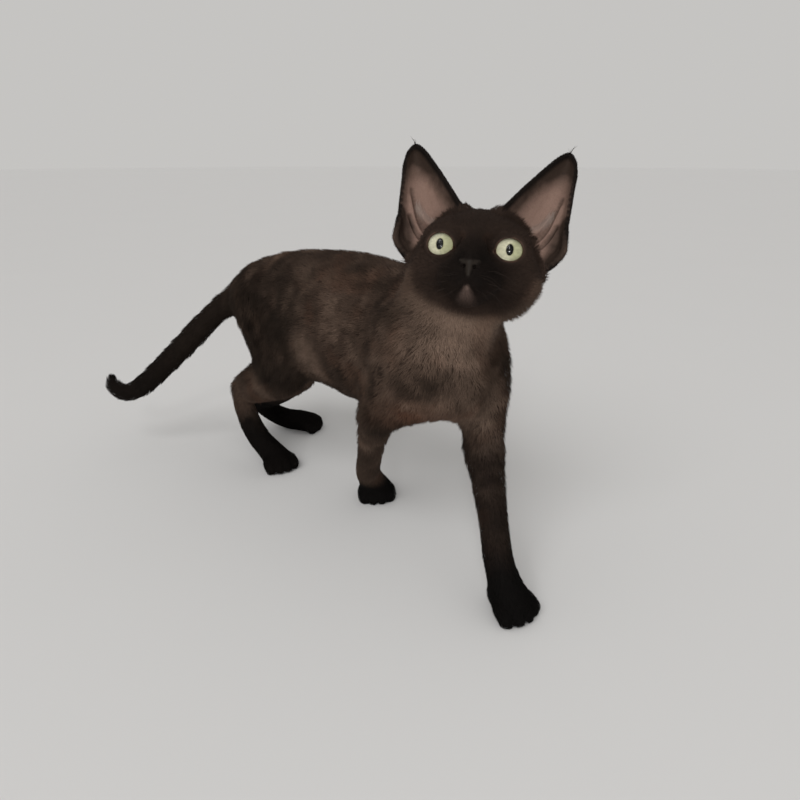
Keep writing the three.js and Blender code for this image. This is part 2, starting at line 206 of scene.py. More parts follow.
class Field:
    def __init__(self, low, high, step):
        self.step = step
        self.start = np.floor(np.array(low) / step).astype(int)
        self.shape = np.ceil(np.array(high) / step).astype(int) - self.start
        self.values = None

    def transform(self):
        return openvdb.createLinearTransform(voxelSize=self.step)

    def from_surface(self, points, half_width, **faces):
        grid = openvdb.FloatGrid.createLevelSetFromPolygons(
            points.astype(np.float32), transform=self.transform(), halfWidth=half_width, **faces
        )
        self.values = np.zeros(self.shape, np.float32)
        grid.copyToArray(self.values, ijk=tuple(int(x) for x in self.start))
        return self

    def surface(self):
        grid = openvdb.FloatGrid()
        grid.background = float(self.values.max())
        grid.copyFromArray(self.values, ijk=tuple(int(x) for x in self.start))
        grid.transform = self.transform()
        return grid.convertToQuads(isovalue=0.0)

    def close(self, gap, half_width):
        """Fills gaps narrower than twice the given width, and measures the distance afresh."""
        self.values -= gap
        points, quads = self.surface()
        self.from_surface(points, half_width, quads=quads.astype(np.uint32))
        self.values += gap
        return self

    def blur(self, width):
        """Softens the field with a Gaussian of the given width."""
        sigma = width / self.step
        reach = int(math.ceil(2.2 * sigma))
        weights = np.exp(-0.5 * (np.arange(reach + 1) / sigma) ** 2)
        weights /= weights[0] + 2 * weights[1:].sum()
        for axis in range(3):
            pad = [(0, 0)] * 3
            pad[axis] = (reach, reach)
            wide = np.pad(self.values, pad, mode="edge")
            size = self.values.shape[axis]

            def take(k):
                cut = [slice(None)] * 3
                cut[axis] = slice(reach + k, reach + k + size)
                return wide[tuple(cut)]

            total = take(0) * np.float32(weights[0])
            for k in range(1, reach + 1):
                total += (take(k) + take(-k)) * np.float32(weights[k])
            self.values = total
        return self

    def near(self, centre, reach):
        """The part of the grid within reach of a point, as slices, and its points."""
        low = np.maximum(np.floor((centre - reach) / self.step).astype(int) - self.start, 0)
        high = np.minimum(np.ceil((centre + reach) / self.step).astype(int) - self.start, self.shape)
        cut = tuple(slice(a, b) for a, b in zip(low, high))
        axes = [(np.arange(a, b) + s) * self.step for a, b, s in zip(low, high, self.start)]
        return cut, lattice(axes)

    def add(self, amount, share=1):
        """Adds a slowly changing amount, worked out at every fourth point and filled in between."""
        axes = [np.arange(0, n + 4, 4) for n in self.shape]
        coarse = lattice([(a + s) * self.step for a, s in zip(axes, self.start)])
        filled = amount(coarse).astype(np.float32)
        for axis, n in enumerate(self.shape):
            t = np.arange(n) / 4
            i = t.astype(int)
            part = (t - i).astype(np.float32).reshape([-1 if a == axis else 1 for a in range(3)])
            filled = mix(np.take(filled, i, axis), np.take(filled, i + 1, axis), part)
        self.values += filled * share

    def join(self, shape, k, sign=1):
        """Adds a shape with a fillet about k wide, or takes it away where the sign is -1."""
        distance, centre, reach = shape
        cut, points = self.near(centre, reach + k + self.step)
        self.values[cut] = sign * blend_min(sign * self.values[cut], distance(points), k)

    def carve(self, shape, k):
        self.join(shape, k, -1)

    def at(self, p):
        q = p / self.step - self.start
        cell = np.clip(np.floor(q).astype(int), 0, np.array(self.shape) - 2)
        f = np.clip(q - cell, 0, 1)
        flat = self.values.reshape(-1)
        rows, layers = self.shape[2], self.shape[1] * self.shape[2]
        first = cell[:, 0] * layers + cell[:, 1] * rows + cell[:, 2]
        total = 0
        for a in (0, 1):
            for b in (0, 1):
                wide = np.where(a, f[:, 0], 1 - f[:, 0]) * np.where(b, f[:, 1], 1 - f[:, 1])
                i = first + a * layers + b * rows
                total = total + wide * mix(flat[i], flat[i + 1], f[:, 2])
        return total

    def slope(self, p):
        h = self.step * 0.8
        ways = np.eye(3) * h
        return np.stack([self.at(p + way) - self.at(p - way) for way in ways], 1) / (2 * h)


# Skin


def node_surface(names):
    """The joined vertices, in millimetres, and triangles of CAD nodes."""
    points, triangles, count = [], [], 0
    for name in names:
        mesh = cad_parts[name].data
        mesh.calc_loop_triangles()
        points.append(pull(mesh.vertices, "co") / MM)
        triangles.append(pull(mesh.loop_triangles, "vertices", np.int32) + count)
        count += len(mesh.vertices)
    return np.concatenate(points), np.concatenate(triangles).astype(np.uint32)


def coat_depth(p):
    """How far the coat stands off the skin: deep on the trunk, thin on the face, feet and tail."""
    c = p - SHIFT
    trunk = mix(1.5, 4.2, smooth(22, 92, c[..., 2]))
    on_tail = smooth(-112, -128, c[..., 0]) * smooth(-18, -28, c[..., 1])
    body = mix(trunk, 2.3, on_tail)
    q = to_head(p)
    face = mix(1.1, 2.2, smooth(6, -22, q[..., 0]))
    return mix(body, face, head_share(p))


BODY_STEP, HEAD_STEP = 0.8, 0.5
GRID_MARGIN, BODY_HEIGHTS = 8, (-6, 240)
JOINT_GAP = 0.6  # the solids are parted by cuts narrower than twice this
PAWS = {
    "foreleg_left": (place(160, -31, 0), -12),
    "foreleg_right": (place(22, -3, 0), -35),
    "hindleg_left": (place(-106, 31, 0), 38),
    "hindleg_right": (place(-62, -28, 0), -12),
}


def body_field():
    """The whole kitten without its ears, rounded and drawn in by the coat's depth."""
    points, triangles = node_surface([name for name in FLESH if name not in EARS])
    low, high = points.min(0) - GRID_MARGIN, points.max(0) + GRID_MARGIN
    low[2], high[2] = BODY_HEIGHTS
    field = Field(low, high, BODY_STEP)
    field.from_surface(points, 3, triangles=triangles)
    field.close(JOINT_GAP, 8)
    field.blur(1.8)
    field.add(coat_depth)
    return field


def finish_paws(field):
    """Toes parted by grooves, and bare pads that rest on the floor."""
    for at, heading in PAWS.values():
        way = turn("Z", heading)
        local = lambda *p: at + way @ np.array(p, float)
        toes, pads = [], []
        for n in (-1.5, -0.5, 0.5, 1.5):
            out, forth = n * 5.7, 9.3 - abs(n) * 2.2
            bones = [local(-2, out * 0.7, 8), local(forth - 4, out, 6.6), local(forth, out, 4.4)]
            toes.append(rope(bones, [3.4, 3.5, 3.7]))
            pads.append(ellipsoid(local(forth + 0.4, out, 1.6), [2.6, 2.6, 1.9]))
        pads.append(ellipsoid(local(-1.5, 0, 1.6), [5.2, 5.8, 2.2]))
        for shape, k in [(toe, 1.3) for toe in toes] + [(pad, 1.0) for pad in pads]:
            field.join(shape, k)
    heights = (np.arange(field.shape[2]) + field.start[2]) * field.step
    field.values = np.maximum(field.values, (0.02 - heights).astype(np.float32))


# Ears: a cupped sheet between an inner and an outer edge that meet at the tip, in the head frame
EAR_CUP = 15
EAR_TIP = [-26, 40.5, 57]
EAR_INNER = np.array(
    [[-13, 9.5, 22], [-16.5, 16.3, 31.5], [-20.5, 24.2, 41.7], [-24, 32, 51], [-25.5, 36.5, 55.3], EAR_TIP]
)
EAR_OUTER = np.array(
    [[-17, 33, -9], [-18.5, 42.3, 3], [-20, 43.6, 18], [-22.5, 44.2, 36], [-24.8, 44.8, 49], EAR_TIP]
)

# Folds inside an ear: a path of (u, v) places, the radii along it, and how far it lies before the sheet
EAR_RIDGES = [
    ([(0.46, 0.60), (0.35, 0.48), (0.22, 0.42), (0.08, 0.38)], [0.6, 1.4, 1.7, 1.6], 1.1),
    ([(0.30, 0.68), (0.22, 0.61), (0.12, 0.56)], [0.5, 1.0, 1.0], 1.6),
    ([(0.38, 0.36), (0.27, 0.2), (0.15, 0.04), (0.05, -0.1)], [0.5, 1.3, 1.8, 1.6], 0.9),
    ([(0.10, 0.98), (0.24, 1.04), (0.36, 0.98)], [1.1, 1.6, 0.8], 0.6),
]
EAR_CREASES = [
    ([(0.50, 0.52), (0.37, 0.38), (0.22, 0.27), (0.08, 0.2)], [0.7, 1.3, 1.6, 1.6], 2.1),
    ([(0.33, 0.62), (0.22, 0.52), (0.12, 0.48)], [0.7, 1.2, 1.2], 2.3),
    ([(0.18, 0.80), (0.27, 0.78), (0.35, 0.84)], [1.6, 2.1, 1.3], 2.8),
]


def catmull(rows, u):
    """Points of a smooth curve through the rows, for shares u of the way along."""
    last = len(rows) - 1
    i = np.minimum(np.floor(u * last).astype(int), last - 1)
    t = (u * last - i)[..., None]
    p, q, r, s = (rows[np.clip(i + k, 0, last)] for k in (-1, 0, 1, 2))
    return 0.5 * (2 * q + (r - p) * t + (2 * p - 5 * q + 4 * r - s) * t**2 + (3 * q - p - 3 * r + s) * t**3)


def ear_point(u, v, off=0.0, side=1):
    """A place on an ear, in the head frame: u from base to tip, v from -1 to 1, inner to outer edge."""
    u, v = np.broadcast_arrays(np.asarray(u, float), np.asarray(v, float))

    def sheet(u, v):
        depth = EAR_CUP * np.clip(1 - u, 0, 1) ** 0.7 * (1 - v * v)
        flat = mix(catmull(EAR_INNER, u), catmull(EAR_OUTER, u), (v[..., None] + 1) / 2)
        return flat + np.array([-1, 0, 0.15]) * depth[..., None]

    e = 0.01
    along = sheet(np.minimum(u + e, 1), v) - sheet(np.maximum(u - e, 0), v)
    across = sheet(u, v + e) - sheet(u, v - e)
    normal = unit(np.cross(along, across))
    normal = normal * np.sign(normal[..., :1])
    p = sheet(u, v) + normal * off
    return p * [1, side, 1]


def on_ear(path, radii, off, side):
    """A rope along a path of (u, v) places on the inner side of an ear."""
    fine = np.linspace(0, 1, 3 * len(path) - 2)
    uv = catmull(np.array(path, float), fine)
    size = np.interp(fine, np.linspace(0, 1, len(radii)), radii)
    return rope(from_head(ear_point(uv[:, 0], uv[:, 1], off, side)), size)


def ear_field(field):
    """Both ears in a field like the given one: thin, with inner folds and the pocket on the outer edge."""
    ears = Field(field.start * field.step, (field.start + field.shape) * field.step, field.step)
    points, triangles = node_surface(EARS)
    ears.from_surface(points, 12, triangles=triangles)
    ears.blur(0.7)
    ears.values += 0.05
    for side in SIDES.values():
        for path, radii, off in EAR_RIDGES:
            ears.join(on_ear(path, radii, off, side), 2.2)
        for path, radii, off in EAR_CREASES:
            ears.carve(on_ear(path, radii, off, side), 1.6)
    return ears


def eye_axes(side):
    """An eye's centre and its outward, sideways and upward axes, in the head frame."""
    centre = np.array([EYE_IN, side * EYE_APART / 2, 0])
    out = unit(np.array([1, side * 17.2, -0.2]) - centre)
    across = unit(np.cross([0, 0, 1], out)) * side
    up = np.cross(out, across) * side
    return centre, np.stack([out, across, up])


# The lids' opening, as half-sizes on the ball, with a small corner towards the nose
OPENING = (6.35, 5.4)
CORNER_AT, CORNER_SIZE = (-5.9, -1.4), (1.1, 0.7)
LID_GAP = 0.15  # room for the rim between the lids' skin and the opening
SOCKET_DEPTH = 9.0  # how far out from the ball the face is shaped to it
BEHIND_EYE = 20.0  # stands for a great distance from the lids
LID, LID_SLOPE, LID_CURVE = 0.9, 0.40, 0.16  # the skin's height over the ball, and how it rises from the lids
WALL_SPARE = 0.08  # the wall behind the lids ends this far above them


def opening(q, side):
    """Distance across the eye's axis from the edge of the lids, less than 0 where the eye shows."""
    centre, axes = eye_axes(side)
    local = (q - centre) @ axes.T
    far, b, c = np.linalg.norm(local, axis=-1), local[..., 1], local[..., 2]
    round_part = (np.hypot(b / OPENING[0], c / OPENING[1]) - 1) * min(OPENING)
    corner = np.hypot((b - CORNER_AT[0]) / CORNER_SIZE[0], (c - CORNER_AT[1]) / CORNER_SIZE[1]) - 1
    edge = blend_min(round_part, corner * min(CORNER_SIZE), 1.2)
    return np.where(local[..., 0] > 0, edge, BEHIND_EYE), far


def ball(side, radius):
    centre = from_head(eye_axes(side)[0])
    return lambda p: np.linalg.norm(p - centre, axis=-1) - radius, centre, radius


def finish_eyes(field):
    """Lids shaped to the balls, each with its opening and a socket behind."""
    reach = EYE_RADIUS + SOCKET_DEPTH
    for side in SIDES.values():
        field.join(ball(side, EYE_RADIUS + LID), 4.0)

        def gap(p):
            edge, far = opening(to_head(p), side)
            return blend_max(edge - LID_GAP, far - reach, 1.0)

        def dish(p):
            edge, far = opening(to_head(p), side)
            rise = np.maximum(edge, 0)
            bowl = EYE_RADIUS + LID + LID_SLOPE * rise + LID_CURVE * rise**2 - far
            return blend_max(bowl, far - reach, 2.0)

        centre = ball(side, 0)[1]
        field.carve((dish, centre, reach + 1), 2.0)
        field.carve((gap, centre, reach + 1), 0.4)
        field.carve(ball(side, EYE_RADIUS + 0.1), 0.2)


def finish_face(field):
    """Nose, mouth line and the openings of the ears."""
    parts = [
        (rope([[14.7, 0, -10.6], [15.2, 0, -12.5], [15.4, 0, -16.2]], [2.1, 1.7, 1.1]), 1.6),
        (ellipsoid([8.2, 0, -25.4], [3.4, 3.8, 3.6]), 2.4),
    ]
    for side in SIDES.values():
        wing = [[14.6, side * 1.0, -11.2], [13.9, side * 3.4, -10.5], [13.4, side * 3.9, -12.2]]
        parts.append((rope(wing, [1.6, 1.3, 0.8]), 1.3))
        parts.append((ellipsoid([11.6, side * 3.8, -19.6], [4.2, 4.4, 3.6]), 2.0))
    for shape, k in parts:
        field.join(in_head(shape), k)
    grooves = [(rope([[17.6, 0, -14.5], [17.3, 0, -17], [16.6, 0, -20.6]], [0.15, 0.35, 0.5]), 0.7)]
    for side in SIDES.values():
        nostril = [[17.8, side * 2.2, -12.3], [16.2, side * 2.5, -12.6], [13.8, side * 2.8, -13.0]]
        slit = [[16.2, side * 2.9, -12.6], [15.4, side * 4.4, -12.6], [14.4, side * 5.3, -11.8]]
        lip = [[16.4, 0, -20.4], [14.9, side * 2.0, -21.4], [12.6, side * 4.2, -24.2],
               [9.6, side * 6.6, -26.6], [5.5, side * 9.3, -27.6], [1, side * 12.5, -26.8]]
        canal = [[-9, side * 32, 8], [-15, side * 27, 6], [-23, side * 21, 2]]
        grooves.append((rope(nostril, [0.95, 0.9, 0.7]), 0.4))
        grooves.append((rope(slit, [0.5, 0.35, 0.2]), 0.3))
        grooves.append((rope(lip, [0.4, 0.4, 0.45, 0.45, 0.35, 0.1]), 0.8))
        grooves.append((rope(canal, [2.9, 3.0, 1.8]), 1.4))
    for shape, k in grooves:
        field.carve(in_head(shape), k)


def head_field():
    """The head, ears and upper neck in a finer field, with eyes, nose, mouth and ear openings."""
    points, triangles = node_surface(["head", "neck", "trunk"])
    low, high = place(44, -76, 122), place(164, 62, 0)
    high[2] = 237
    field = Field(low, high, HEAD_STEP)
    field.from_surface(points, 3, triangles=triangles)
    field.close(JOINT_GAP, 9)
    field.blur(1.2)
    ears = ear_field(field)
    field.add(coat_depth, smooth(0.5, 6, ears.values))
    field.values = blend_min(field.values, ears.values, 4.5)
    finish_eyes(field)
    finish_face(field)
    return field, ears


def merge(body, head):
    """Writes the finer field into the body's, with a soft change across the neck."""
    low = (head.start + 2) * HEAD_STEP
    high = (head.start + head.shape - 2) * HEAD_STEP
    a = np.maximum(np.ceil(low / BODY_STEP).astype(int) - body.start, 0)
    b = np.minimum(np.floor(high / BODY_STEP).astype(int) - body.start, body.shape)
    box = tuple(slice(x, y) for x, y in zip(a, b))
    axes = [(np.arange(x, y) + s) * BODY_STEP for x, y, s in zip(a, b, body.start)]
    p = lattice(axes).reshape(-1, 3)
    share = head_share(p)
    old = body.values[box].reshape(-1)
    use = (share > 0) & (np.abs(old) < 6) | (share >= 1)
    old[use] = mix(old[use], head.at(p[use]), share[use])
    body.values[box] = old.reshape(body.values[box].shape)


def show(name, data):
    """A new object in the scene."""
    obj = bpy.data.objects.new(name, data)
    bpy.context.scene.collection.objects.link(obj)
    return obj


def dress(piece, material):
    """Gives a piece its material and slot, and sets it on the body."""
    piece.data.materials.append(material)
    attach(piece, "root")


def mesh_object(name, points, faces):
    """A smooth mesh object from points in millimetres and an array of triangles or quads."""
    mesh = bpy.data.meshes.new(name)
    mesh.vertices.add(len(points))
    mesh.vertices.foreach_set("co", (points * MM).astype(np.float32).ravel())
    corners = faces.shape[1]
    mesh.loops.add(faces.size)
    mesh.loops.foreach_set("vertex_index", faces.astype(np.int32).ravel())
    mesh.polygons.add(len(faces))
    mesh.polygons.foreach_set("loop_start", np.arange(len(faces), dtype=np.int32) * corners)
    mesh.update(calc_edges=True)
    mesh.shade_smooth()
    return show(name, mesh)


def vertex_places(mesh):
    return pull(mesh.vertices, "co").astype(float) / MM


def vertex_normals(mesh):
    return pull(mesh.vertices, "normal").astype(float)


def settle(field, points, height=0.0, steps=3):
    """Moves points along the field's slope until they lie at a height over its surface."""
    for _ in range(steps):
        slope = field.slope(points)
        away = np.clip(field.at(points) - height, -1, 1)
        points = points - slope * (away / np.maximum((slope * slope).sum(1), 0.2))[:, None]
    return points


BODY_KEPT = 0.34  # share of the faces left when the plain parts of the body are thinned
THIN_LEVELS = 10


def fine_part(p):
    """Where the skin has small shapes: the face and the lower inside of the ears."""
    q = to_head(p)
    face = (q[:, 0] > -9) & (q[:, 2] > -33) & (q[:, 2] < 16)
    ear = (np.abs(q[:, 1]) > 18) & (q[:, 2] > -8) & (q[:, 2] < 36) & (q[:, 0] > -33)
    return (face | ear) & (head_share(p) > 0.9)


def make_skin(body, head):
    points, quads = body.surface()
    skin = mesh_object("skin", points, quads)
    detail = np.maximum(head_share(points), 0.9 * smooth(26, 12, points[:, 2]))
    group = skin.vertex_groups.new(name="plain")
    for level in range(1, THIN_LEVELS + 1):
        rows = np.nonzero(np.round((1 - detail) * THIN_LEVELS) == level)[0]
        group.add(rows.tolist(), level / THIN_LEVELS, "REPLACE")
    thin = skin.modifiers.new("thin", "DECIMATE")
    thin.ratio, thin.vertex_group = BODY_KEPT, "plain"
    mesh = bpy.data.meshes.new_from_object(skin.evaluated_get(bpy.context.evaluated_depsgraph_get()))
    skin.modifiers.clear()
    skin.vertex_groups.clear()
    skin.data = mesh

    bm = bmesh.new()
    bm.from_mesh(mesh)
    inside = fine_part(vertex_places(mesh))
    edges = [e for e in bm.edges if inside[e.verts[0].index] and inside[e.verts[1].index]]
    bmesh.ops.subdivide_edges(bm, edges=edges, cuts=1, use_grid_fill=True)
    bm.to_mesh(mesh)
    bm.free()
    p = vertex_places(mesh)
    on_head = head_share(p) > 0.5
    p[on_head] = settle(head, p[on_head])
    p[~on_head] = settle(body, p[~on_head], steps=2)
    mesh.vertices.foreach_set("co", (p * MM).astype(np.float32).ravel())
    mesh.update()
    mesh.shade_smooth()
    return skin


body = body_field()
finish_paws(body)
head, ears = head_field()
merge(body, head)
skin = make_skin(body, head)

# Coat. Hair lies along the nearest of these lines, which are in the solids' own numbers.
HAIR_LINES = [
    [(104, -6, 180), (92, -5, 152), (60, -3, 142), (0, 0, 142), (-70, -3, 142), (-104, -9, 130)],
    [(114, -14, 156), (113, -15, 125), (98, -14, 92), (60, -6, 80), (0, 0, 74), (-70, -2, 84)],
    [(-104, -9, 128), (-115, -12, 125), (-127, -27, 114), (-148, -54, 83), (-168, -79, 54), (-181, -91, 45)],
    [(-181, -91, 45), (-190, -97, 50), (-193, -96, 62)],
    [(96, 18, 116), (108, 4, 70), (150, -30, 24), (158, -31, 9), (174, -34, 4)],
    [(86, -36, 122), (57, -34, 82), (27, -14, 26), (24, -6, 9), (33, -12, 4)],
    [(-84, 18, 130), (-78, 14, 90), (-92, 8, 58), (-137, 5, 23), (-121, 17, 10), (-106, 31, 8), (-95, 40, 4)],
    [(-80, -28, 130), (-62, -30, 92), (-82, -29, 66), (-109, -28, 48), (-89, -31, 23), (-64, -28, 8),
     (-48, -32, 4)],
]
NOSE_TIP = np.array([19, 0, -12])
# On the ears' sheet: a streak of pale fuzz, the mouth of the pocket, where shade is painted, and the width of
# the hairy edge
FUZZ = ([(0.33, 0.26), (0.25, 0.13), (0.16, 0.0), (0.12, -0.12)], 1.0)
POCKET = [(0.14, 0.9), (0.28, 0.84), (0.36, 0.95)]
HAIRY_EDGE = 3.0
SOLE_HEIGHT, BARE_LID = 2.2, 0.7  # nothing grows on faces turned down below this height, or nearer the lids


def ear_share(p):
    """1 on the ears, 0 on the rest."""
    share = np.zeros(len(p))
    on_head = head_share(p) > 0.5
    share[on_head] = smooth(2.4, 0.6, ears.at(p[on_head]))
    q = to_head(p)
    return share * smooth(12, 18, np.hypot(q[:, 1], q[:, 2] * 0.7))


def tail_share(c):
    return smooth(-108, -122, c[:, 0]) * smooth(-12, -24, c[:, 1] - 0.25 * (c[:, 0] + 110))


def ear_map():
    """How far forward the ear's sheet lies, for cells of (y, z) in the head frame."""
    u, v = np.meshgrid(np.linspace(0, 1, 400), np.linspace(-1, 1, 240), indexing="ij")
    spots = ear_point(u, v).reshape(-1, 3)
    cells = np.full(EAR_MAP_SHAPE, np.nan)
    cell = ((spots[:, 1:] - EAR_MAP_START) / EAR_CELL).astype(int)
    cells[cell[:, 0], cell[:, 1]] = spots[:, 0]
    for _ in range(8):
        around = np.stack([np.roll(cells, (a, b), (0, 1)) for a in (-1, 0, 1) for b in (-1, 0, 1)])
        known = ~np.isnan(around)
        spread = np.where(known, around, 0).sum(0) / np.maximum(known.sum(0), 1)
        cells = np.where(np.isnan(cells) & known.any(0), spread, cells)
    return np.nan_to_num(cells, nan=99.0)


EAR_CELL, EAR_MAP_START, EAR_MAP_SHAPE = 0.5, np.array([-2.0, -20.0]), (110, 170)
EAR_FRONT = ear_map()


def inner_ear(p):
    """1 on the bare inner side of the ears."""
    q = to_head(p)
    at = (np.stack([np.abs(q[:, 1]), q[:, 2]], 1) - EAR_MAP_START) / EAR_CELL - 0.5
    cell = np.clip(np.floor(at).astype(int), 0, np.array(EAR_MAP_SHAPE) - 2)
    f = np.clip(at - cell, 0, 1)
    i, j = cell.T
    low = mix(EAR_FRONT[i, j], EAR_FRONT[i, j + 1], f[:, 1])
    high = mix(EAR_FRONT[i + 1, j], EAR_FRONT[i + 1, j + 1], f[:, 1])
    return ear_share(p) * smooth(-0.4, 0.2, q[:, 0] - mix(low, high, f[:, 0]))


def line_distance(q, line):
    """How far points are from a line of spots on the left side of the head, or from its mirror image."""
    left, near = mirrored(q), np.full(len(q), 99.0)
    for spot in line:
        near = np.minimum(near, np.linalg.norm(left - spot, axis=1))
    return near


def on_sheet(path, off):
    """Spots along a path of (u, v) places on the ear's sheet, in the head frame."""
    uv = catmull(np.array(path, float), np.linspace(0, 1, 14))
    return ear_point(uv[:, 0], uv[:, 1], off)


def ear_edges(q):
    """How far points are from the ear's inner and outer edges."""
    shares = np.linspace(0, 1, 30)
    return line_distance(q, catmull(EAR_INNER, shares)), line_distance(q, catmull(EAR_OUTER, shares))


def lid_distance(q):
    """How far points are from the edge of the nearer eye's lids, negative inside the opening."""
    edges = []
    for side in SIDES.values():
        edge, far = opening(q, side)
        edges.append(np.where(np.abs(far - EYE_RADIUS - 3.5) < 5.5, edge, BEHIND_EYE))
    return np.minimum(*edges)


def in_socket(q):
    """True on the wall behind the lids, where nothing grows."""
    return np.linalg.norm(mirrored(q) - eye_axes(1)[0], axis=1) < EYE_RADIUS + LID + WALL_SPARE


def nose_leather(q):
    """1 on the nose's leather: two wings and the narrow stem between the nostrils."""
    wings = rope([[17.0, 0, -11.8], [15.9, 2.4, -10.6], [14.6, 4.2, -10.0]], [1.3, 1.3, 0.9])
    stem = rope([[16.8, 0, -11.6], [16.6, 0, -16.6]], [1.7, 1.1])
    return smooth(0.7, -0.8, np.minimum(*(shape[0](mirrored(q)) for shape in (wings, stem))))


def lie(p, normal):
    """The direction of the hair at points on the skin."""
    c, q = p - SHIFT, to_head(p)
    total = np.zeros_like(p)
    for line in HAIR_LINES:
        for start, end in zip(line[:-1], line[1:]):
            start, d = np.array(start, float), np.subtract(end, start).astype(float)
            t = np.clip((c - start) @ d / (d @ d), 0, 1)
            near = np.linalg.norm(c - start - t[:, None] * d, axis=1)
            total += (d / np.linalg.norm(d)) * (near[:, None] + 3) ** -4
    from_nose = unit(q - NOSE_TIP) @ HEAD.T
    way = mix(unit(total), from_nose, smooth(0.1, 0.9, head_share(p))[:, None])
    own_side = np.stack([np.ones(len(q)), np.sign(q[:, 1]), np.ones(len(q))], 1)
    from_eye = unit(q - own_side * [EYE_IN, EYE_APART / 2, 0]) @ HEAD.T
    way = mix(way, from_eye, 0.9 * smooth(4.0, 1.0, lid_distance(q))[:, None])
    way = mix(way, unit(own_side * EAR_TIP - q) @ HEAD.T, ear_share(p)[:, None])
    return unit(way - normal * (way * normal).sum(1, keepdims=True))


def coat_traits(p, normal):
    """Length, width and number to the square millimetre of the tufts at points on the skin."""
    c, q = p - SHIFT, to_head(p)
    low, toe = smooth(90, 30, c[:, 2]), smooth(20, 7, c[:, 2])
    tail, on_head, on_ear = tail_share(c), head_share(p), ear_share(p)
    inside = inner_ear(p)
    back = smooth(14, 48, np.linalg.norm(q - [12, 0, -12], axis=1))

    def trait(body, leg, foot, tail_value, face, nape, ear):
        value = mix(mix(body, leg, low), foot, toe)
        value = mix(mix(value, tail_value, tail), mix(face, nape, back), on_head)
        return mix(value, ear, on_ear)

    length = trait(7.2, 3.9, 2.3, 4.4, 1.5, 5.0, 1.1)
    width = trait(0.46, 0.40, 0.34, 0.42, 0.24, 0.4, 0.24)
    density = trait(1.75, 2.6, 4.2, 2.6, 6.5, 2.8, 4.0)
    fuzz = inside * smooth(3.0, 0.8, line_distance(q, on_sheet(*FUZZ)))
    rim = smooth(HAIRY_EDGE, 1.0, np.minimum(*ear_edges(q)))
    density *= mix(1, np.maximum(0.5 * fuzz, 0.8 * rim), inside)
    length = length + inside * 3.2 * fuzz
    lids = lid_distance(q)
    length = length * mix(0.4, 1, smooth(0.5, 3.5, lids))
    sole = (c[:, 2] < SOLE_HEIGHT) & (normal[:, 2] < -0.6)
    bare = sole | (lids < BARE_LID) | in_socket(q)
    density = np.where(bare, 0, density) * (1 - nose_leather(q))
    return length, width, density


# Colours, the same on skin and coat


def tone(*srgb):
    """A linear colour from screen values of 0 to 255."""
    s = np.array(srgb) / 255
    return np.where(s < 0.04045, s / 12.92, ((s + 0.055) / 1.055) ** 2.4)


BLACK = tone(11, 9, 8)
DARK = tone(34, 27, 22)
SEAL = tone(66, 53, 45)
SMOKE = tone(118, 99, 86)
RUST = tone(82, 56, 43)
FACE = tone(52, 41, 35)
INNER_EAR = tone(130, 106, 95)
FUZZ_TONE = tone(160, 146, 137)
CHIN = tone(82, 68, 62)
LIP_HIGHLIGHT = tone(102, 86, 79)
# A painted highlight on the wet lower lip
LEATHER = tone(35, 30, 26)
LID_EDGE = tone(62, 47, 39)


def near_spot(p, spot, low, high, stretch=(1, 1, 1)):
    """1 within low of a spot, 0 beyond high, measured along axes stretched by the given amounts."""
    return smooth(high, low, np.linalg.norm((p - np.array(spot, float)) / stretch, axis=1))


def paint(colour, other, share):
    colour[:] = mix(colour, other, np.clip(share, 0, 1)[:, None])


def paint_body(colour, c, under_jaw, on_head):
    """Smoky chest and elbow, dark patches on the back and flank, and nearly black feet and tail."""
    x, y, z = c.T
    blotch = 0.6 * noise(c * [0.8, 1, 1], 17, 1) + 0.45 * noise(c, 7, 2)
    tail = tail_share(c)
    chest = near_spot(c, (110, -20, 143), 5, 28, (1, 1.15, 1))
    lower_chest = near_spot(c, (112, -20, 106), 8, 34, (1, 1.1, 1.2))
    elbow = near_spot(c, (115, -2, 80), 4, 16)
    shoulder = near_spot(c, (84, -42, 138), 6, 30, (1, 1, 1.2))
    armpit = near_spot(c, (92, -30, 92), 8, 30, (1.3, 1, 0.8))
    left_side = near_spot(c, (114, 13, 110), 10, 38, (1, 0.8, 1.3))
    flank = near_spot(c, (-9, -34, 102), 5, 26, (0.9, 1, 1.1))
    middle = near_spot(c, (111, -6, 118), 5, 26)
    rear = smooth(-2, -38, x + 8 * blotch - 10 * smooth(108, 124, z))
    rear *= smooth(58, 84, z) * (1 - 0.6 * smooth(142, 154, z))
    smoky = np.clip(0.72 * chest + 0.25 * lower_chest + 0.4 * elbow + 0.2 * shoulder, 0, 0.95)
    for other, share in (
        (SMOKE, smoky),
        (RUST, 0.5 * armpit + 0.25 * smooth(0.1, 0.9, noise(c, 11, 12))),
        (DARK, 0.65 * left_side),
        (DARK, rear * (0.9 + 0.3 * blotch)),
        (DARK, 0.35 * smooth(104, 84, z) * (x < 85) * (x > 10)),
        (DARK, 0.65 * smooth(-0.1, 0.9, blotch) * (1 - 0.75 * np.maximum(chest, elbow))),
        (SMOKE, 0.25 * smooth(-0.1, -0.8, blotch) * (1 - 0.7 * rear)),
        (SMOKE, 0.4 * flank),
        (DARK, 0.4 * middle),
        (SMOKE, 0.3 * under_jaw),
        (DARK, tail),
        (BLACK, tail * (0.1 + 0.55 * smooth(-125, -165, x))),
    ):
        paint(colour, other, share)
    stripe = smooth(-14, -26, y + 0.55 * (x - 108))
    front = np.maximum(smooth(60, 24, z + 5 * blotch), 0.7 * smooth(92, 70, z) * (1 - stripe))
    for share, amount, where in (
        (smooth(24, 15, z + 2 * blotch), 1, (x > -10) & (x < 70)),
        (front, 1, x >= 70),
        (smooth(46, 24, z + 6 * blotch), 0.97, (x <= -10) & (y < -10)),
        (smooth(56, 30, z + 6 * blotch), 0.97, (x <= -10) & (y >= -10)),
    ):
        paint(colour, BLACK, share * amount * where * (1 - on_head))
    return blotch


